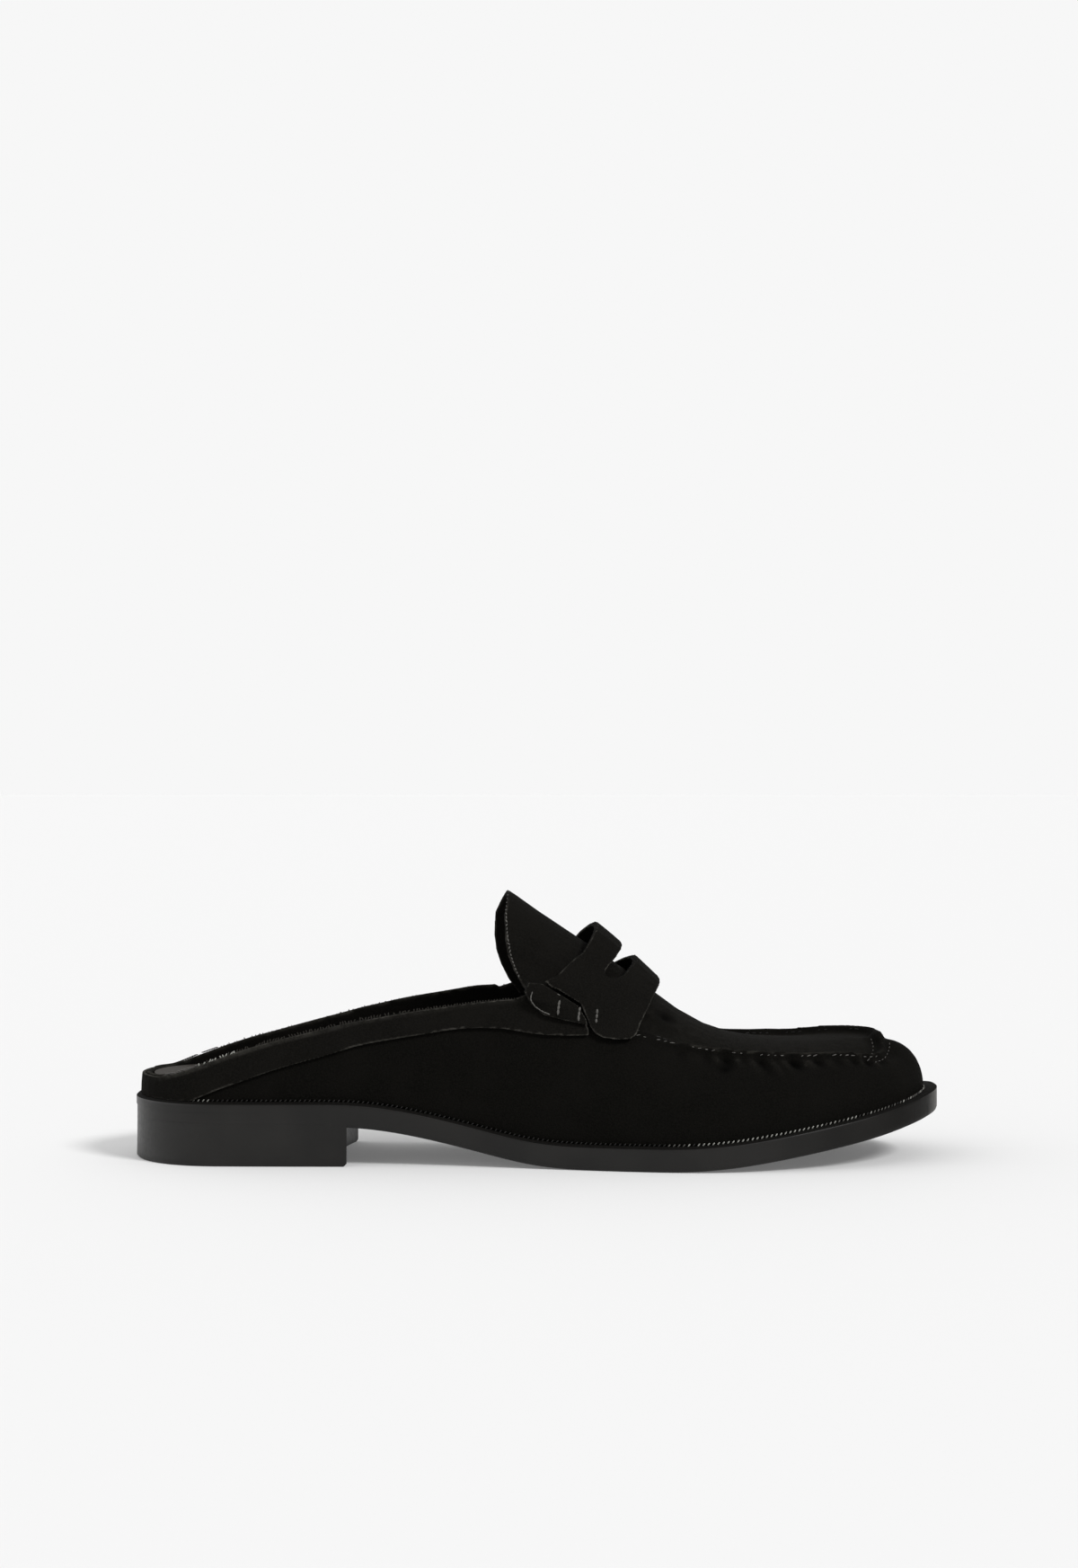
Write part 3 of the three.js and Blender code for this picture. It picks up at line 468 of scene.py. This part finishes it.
def soleMesh(name, material, raised):
    mesh = mergedMesh(name)
    work = bmesh.new()
    work.from_mesh(mesh)
    bmesh.ops.join_triangles(work, faces=work.faces, angle_face_threshold=soleForm["flat"],
                             angle_shape_threshold=soleForm["sharp"])
    work.normal_update()
    crease = work.edges.layers.float.new("crease_edge")
    for edge in work.edges:
        turned = edge.calc_face_angle() if len(edge.link_faces) == 2 else 0
        if turned > soleForm["creased"]:
            edge[crease] = 1.0
        edge.smooth = turned < soleForm["sharp"]
    for vertex in work.verts:
        if vertex.normal.z > soleForm["facesUp"]:
            vertex.co.z += raised * mm
    for face in work.faces:
        face.smooth = True
        face.material_index = int(name == "welt" and face.normal.z > soleForm["topFace"])
    work.to_mesh(mesh)
    work.free()
    mesh.materials.append(material)
    mesh.materials.append(weltTop)
    piece = place(bpy.data.objects.new(name + "Polished", mesh), name)
    rounder = piece.modifiers.new("round", "SUBSURF")
    rounder.levels = soleForm["rounding"]
    rounder.render_levels = soleForm["rounding"]
    return piece


solePieces = {
    "outsole": {"material": solePolish, "raised": 0.31},
    "welt": {"material": solePolish, "raised": 0.25},
    "heel": {"material": solePolish, "raised": 1.35},
    "footbed": {"material": insole, "raised": 0},
}
for name, sizes in solePieces.items():
    soft[name] = soleMesh(name, sizes["material"], sizes["raised"])
print("sole made")

# Threads: small rounded bars laid on the surfaces
shown = bpy.context.evaluated_depsgraph_get()


def treeOf(piece):
    return BVHTree.FromObject(piece, shown)


upperTree = treeOf(upperPiece)
weltTree = treeOf(soft["welt"])
barMesh = bpy.data.meshes.new("bar")    # one thread at a time
barForm = {"flat": 0.8, "round": 8, "long": 6}


def barAt(work, centre, along, outward, length, thick):    # mm
    along = along.normalized()
    outward = (outward - along * outward.dot(along)).normalized()
    side = outward.cross(along)
    turned = Matrix((along, side, outward)).transposed().to_4x4()
    scale = Matrix.Diagonal((length / 2, thick / 2, thick / 2 * barForm["flat"], 1))
    lay = Matrix.Translation(centre * mm) @ turned @ Matrix.Scale(mm, 4) @ scale
    bar = bmesh.new()
    bmesh.ops.create_uvsphere(bar, u_segments=barForm["round"], v_segments=barForm["long"], radius=1,
                              matrix=lay)
    bar.to_mesh(barMesh)
    bar.free()
    work.from_mesh(barMesh)


def finishBars(work, name, material):
    mesh = bpy.data.meshes.new(name)
    for face in work.faces:
        face.smooth = True
    work.to_mesh(mesh)
    work.free()
    mesh.materials.append(material)
    place(bpy.data.objects.new(name, mesh), None)


def onSurface(tree, point):    # nearest place on a piece and its outward direction, in mm
    spot, normal, index, far = tree.find_nearest(Vector(point) * mm)
    return spot / mm, normal


# Ridge stitches, along both faces of the ridge
ridgeStitch = {"pitch": 2.3, "length": 1.6, "thick": 0.34, "out": 1.5, "up": 1.5, "ends": 113, "shown": 0.35}
greyRidge, darkRidge = bmesh.new(), bmesh.new()
for rows, side in ((seamOuter, -1), (seamInner, 1)):
    line = evenly(rows, ridgeStitch["pitch"])
    for i in range(2, len(line) - 1):
        here = Vector(line[i])
        along = (Vector(line[i + 1]) - Vector(line[i - 1])).normalized()
        outward = Vector((-along.y, along.x, 0)).normalized() * side
        for face, work in ((1, greyRidge), (-1, darkRidge)):
            hidden = math.sin(here.x * 0.55) + chance.uniform(-0.8, 0.8) > ridgeStitch["shown"]
            if hidden or here.x > ridgeStitch["ends"]:    # groups of stitches are sunk in the nap
                continue
            guess = here + outward * face * ridgeStitch["out"] + Vector((0, 0, ridgeStitch["up"]))
            spot, normal = onSurface(upperTree, guess)
            lean = along + Vector((0, 0, chance.uniform(-0.05, 0.5)))
            length = ridgeStitch["length"] * chance.uniform(0.5, 1.2)
            thick = ridgeStitch["thick"] * chance.uniform(0.7, 1.1)
            barAt(work, spot + normal * 0.02, lean, normal, length, thick)
finishBars(greyRidge, "ridgeStitches", greyThreadAndHighlight)
finishBars(darkRidge, "ridgeStitchesInside", threadDark)


# Details placed where the photo shows them, each on the surface that carries it
def seenOn(tree, u, v):
    ray = Vector(((u - middleU) / focal, 1, (middleV - v) / focal)).normalized()
    spot, normal, index, far = tree.ray_cast(eyePlace, ray)
    return (spot / mm, normal) if spot else None


def barsSeen(work, tree, corners, pitch, length, thick, turned=0.0, jitter=0.15, lift=0.05):
    line = evenly([(u, v, 0) for u, v in corners], pitch)
    for i in range(len(line)):
        a, b = line[max(i - 1, 0)], line[min(i + 1, len(line) - 1)]
        here, before, after = (seenOn(tree, p[0], p[1]) for p in (line[i], a, b))
        if not (here and before and after):
            continue
        spot, normal = here
        along = (after[0] - before[0]).normalized()
        along = Matrix.Rotation(turned + chance.uniform(-jitter, jitter), 3, normal) @ along
        barAt(work, spot + normal * lift, along, normal, length * chance.uniform(0.75, 1.15),
              thick * chance.uniform(0.8, 1.1))


rollTree = treeOf(soft["roll_outer"])
pale, grey = bmesh.new(), bmesh.new()
tongueEdge = [(566.5, 992), (564.5, 1004), (563.5, 1020), (564.5, 1036), (566.5, 1052), (569.5, 1066),
              (574.5, 1080), (579.5, 1090)]
barsSeen(grey, treeOf(soft["tongue"]), tongueEdge, 4.2, 1.2, 0.42, 0.15, 0.7, 0.15)

# Threads that bind the rolls: the piece that carries them, its side, and the middle of each group, X and Z
bindings = [
    ("roll_outer", -1, ((6.8, 52.1), (13.5, 50))),
    ("roll_inner", 1, ((1.3, 52.1), (6.2, 50))),
    ("strap", -1, ((19.3, 49),)),
    ("strap", 1, ((11.6, 48.6),)),
]
bindingThread = {"drops": (-1.4, 0, 1.4), "lean": 0.12, "thick": 0.85, "lift": 0.05, "outside": 80}
for node, side, places in bindings:
    tree = treeOf(soft[node])
    for x, z in places:
        for drop in bindingThread["drops"]:
            beside = Vector((x + bindingThread["lean"] * drop, side * bindingThread["outside"], z + drop))
            spot, normal, index, far = tree.ray_cast(beside * mm, Vector((0, -side, 0)))
            if spot:
                along = Vector((0.1 + chance.uniform(-0.15, 0.15), 0, 1))
                barAt(grey, spot / mm + normal * bindingThread["lift"], along, normal,
                      chance.uniform(1.6, 2.2), bindingThread["thick"])

# Raw edge along the topline: it starts at the back of the heel, lies flat round it, then stands up
rawFringe = {"pitch": 0.95, "skipped": 0.12, "starts": -131, "stands": -112, "greyTo": -123, "paleTo": -99,
             "paleShare": 0.7, "thick": 0.5, "lying": 1.5}
raw = bmesh.new()
for rows, side in ((rimOuter, -1), (rimInner, 1)):
    for x, y, z in evenly(rows, rawFringe["pitch"]):
        if x < rawFringe["starts"] or chance.random() < rawFringe["skipped"]:
            continue
        if x < rawFringe["stands"]:
            work = grey if x > rawFringe["greyTo"] and side < 0 else raw
            spot, along = Vector((x, y - 0.4 * side, z + 0.45)), Vector((1, 0.2 * side, 0.15))
            barAt(work, spot, along, Vector((0, 0, 1)), rawFringe["lying"], rawFringe["thick"])
            continue
        isPale = x < rawFringe["paleTo"] and side < 0 and chance.random() < rawFringe["paleShare"]
        work = pale if isPale else raw
        z -= 0.5 * (side > 0)
        lean = Vector((chance.uniform(-0.6, 0.9), 0, 1))
        tall = chance.uniform(1.1, 2.1) * (1 - 0.5 * float(ramp(-60, -5, x)))
        spot = Vector((x, y + chance.uniform(-0.3, 0.3), z + 0.15))
        barAt(work, spot, lean, Vector((0, math.copysign(1, y), 0)), tall, rawFringe["thick"])
finishBars(raw, "rawEdges", rawEdge)

# Light lines on the front of the ridge, and along the outer roll's borders
ridgeFront = [
    [(970, 1157), (972, 1166), (970, 1175), (966, 1180)],
    [(985, 1151), (989.5, 1158), (989.5, 1168), (984, 1178), (972, 1183)],
]
rollBack = [(592, 1106), (591, 1112), (595, 1119), (603, 1125), (612, 1129)]
# The line along the roll's top is a painted highlight, laid as grey thread bars
rollTopHighlight = [(622, 1107), (632, 1112), (642, 1118)]
for corners in ridgeFront:
    barsSeen(grey, upperTree, corners, 4, 1.5, 0.26, 0, 0.1)
barsSeen(grey, rollTree, rollBack, 3.6, 1.5, 0.45, 0, 0.1)
barsSeen(grey, rollTree, rollTopHighlight, 4, 1.4, 0.35, 0, 0.1)
finishBars(pale, "paleThreads", threadPale)
finishBars(grey, "greyThreadsAndHighlight", greyThreadAndHighlight)

# Welt stitches, slanted, where the upper meets the welt
weltStitch = {"pitch": 1.6, "length": 1.25, "thick": 0.46, "slant": 1.1, "out": 0.35, "up": 0.35}


# How roundSole looks down on the shoe all round, each time inwards from well outside, in mm
soleWalk = {"looks": 1400, "swing": 160, "back": -104, "front": 92, "from": 60, "to": 8, "by": 0.2,
            "above": 120}


def roundSole(step):    # the line on the welt just outside the upper as seen from above, mm
    spots = []
    down = Vector((0, 0, -1))
    for t in np.linspace(0, 2 * math.pi, soleWalk["looks"], endpoint=False):
        direction = Vector((math.cos(t), math.sin(t), 0))
        x = float(np.clip(soleWalk["swing"] * math.cos(t), soleWalk["back"], soleWalk["front"]))
        centre = Vector((x, 2 * (math.cos(t) > 0), 0))
        for reach in np.arange(soleWalk["from"], soleWalk["to"], -soleWalk["by"]):
            spot = centre + direction * float(reach)
            above = Vector((spot.x, spot.y, soleWalk["above"])) * mm
            welt = weltTree.ray_cast(above, down)[0]
            if welt is None:
                continue
            cover = upperTree.ray_cast(above, down)[0]
            if cover is not None and cover.z > welt.z:
                spots.append((spot.x, spot.y, welt.z / mm))
                break
    line = np.array(spots + spots[:1])
    along = np.concatenate([[0], np.cumsum(np.linalg.norm(np.diff(line, axis=0), axis=1))])
    places = np.arange(0, along[-1], step)
    return np.stack([np.interp(places, along, line[:, k]) for k in range(3)], axis=1)


works = {"pale": bmesh.new(), "grey": bmesh.new(), "dark": bmesh.new()}
ringLine = roundSole(weltStitch["pitch"])
print("welt line", len(ringLine))
for i in range(len(ringLine)):
    here = Vector(ringLine[i])
    along = (Vector(ringLine[(i + 1) % len(ringLine)]) - Vector(ringLine[i - 1])).normalized()
    outward = Vector((along.y, -along.x, 0)).normalized()
    if outward.dot(here - Vector((float(np.clip(here.x, -100, 90)), 0, here.z))) < 0:
        outward = -outward
    slant = along + Vector((0, 0, weltStitch["slant"]))
    bright = float(ramp(38, 60, here.x) * (1 - 0.75 * ramp(88, 112, here.x)))
    kind = "pale" if chance.random() < bright else "grey" if here.x > 42 and chance.random() < 0.7 else "dark"
    if -118 < here.x < -107 and chance.random() < 0.7:
        kind = "pale"
    spot = here + outward * weltStitch["out"] + Vector((0, 0, weltStitch["up"]))
    barAt(works[kind], spot, slant, outward + Vector((0, 0, 0.4)), weltStitch["length"], weltStitch["thick"])
finishBars(works["pale"], "weltStitchesPale", threadPale)
finishBars(works["grey"], "weltStitchesGrey", greyThreadAndHighlight)
finishBars(works["dark"], "weltStitchesDark", threadDark)
bpy.data.meshes.remove(barMesh)
print("stitches made")

# Floor, light and camera
paper = newMaterial("paper", Base_Color=(0.66, 0.66, 0.66, 1), Roughness=0.9, Specular_IOR_Level=0.1,
                    Emission_Color=(1, 1, 1, 1), Emission_Strength=0.13)
floorMesh = bpy.data.meshes.new("floor")
work = bmesh.new()
bmesh.ops.create_grid(work, x_segments=1, y_segments=1, size=30)
work.to_mesh(floorMesh)
work.free()
floorMesh.materials.append(paper)
floor = bpy.data.objects.new("floor", floorMesh)
bpy.context.scene.collection.objects.link(floor)

# The sky is bright behind the shoe and dimmer elsewhere, with more again from the left and from above. Each
# row gives an axis, where the change starts and ends along it, and how much it adds
skyBase = 0.93
skyChanges = [("Y", 0.85, 0.6, -0.5), ("X", -0.3, -0.9, 1.1), ("Z", 0.4, 0.9, 0.2)]
world = bpy.context.scene.world or bpy.data.worlds.new("studio")
bpy.context.scene.world = world
world.use_nodes = True
parts = world.node_tree
sky = parts.nodes["Background"]
sky.inputs["Color"].default_value = (1, 1, 1, 1)
where = parts.nodes.new("ShaderNodeTexCoord")
split = parts.nodes.new("ShaderNodeSeparateXYZ")
parts.links.new(where.outputs["Generated"], split.inputs[0])
level = None
for axis, start, end, change in skyChanges:
    step = parts.nodes.new("ShaderNodeMapRange")
    parts.links.new(split.outputs[axis], step.inputs["Value"])
    step.inputs["From Min"].default_value = start
    step.inputs["From Max"].default_value = end
    step.inputs["To Max"].default_value = change
    total = parts.nodes.new("ShaderNodeMath")
    parts.links.new(step.outputs["Result"], total.inputs[0])
    if level is None:
        total.inputs[1].default_value = skyBase
    else:
        parts.links.new(level, total.inputs[1])
    level = total.outputs["Value"]
parts.links.new(level, sky.inputs["Strength"])

frontLight = {"strength": 2.28, "from": (0.9, -0.8, 1), "angle": 0.27}
sun = bpy.data.lights.new("frontLight", "SUN")
sun.energy = frontLight["strength"]
sun.angle = frontLight["angle"]
lamp = bpy.data.objects.new("frontLight", sun)
lamp.location = frontLight["from"]
lamp.rotation_euler = (-Vector(frontLight["from"])).to_track_quat("-Z", "Y").to_euler()
bpy.context.scene.collection.objects.link(lamp)

camera = bpy.data.cameras.new("camera")
camera.lens = 58.77
camera.sensor_width = 36
camera.dof.use_dof = False
eye = bpy.data.objects.new("camera", camera)
eye.location = eyePlace
eye.rotation_euler = (math.radians(90), 0, 0)
bpy.context.scene.collection.objects.link(eye)
bpy.context.scene.camera = eye
bpy.context.scene.view_settings.view_transform = "Standard"
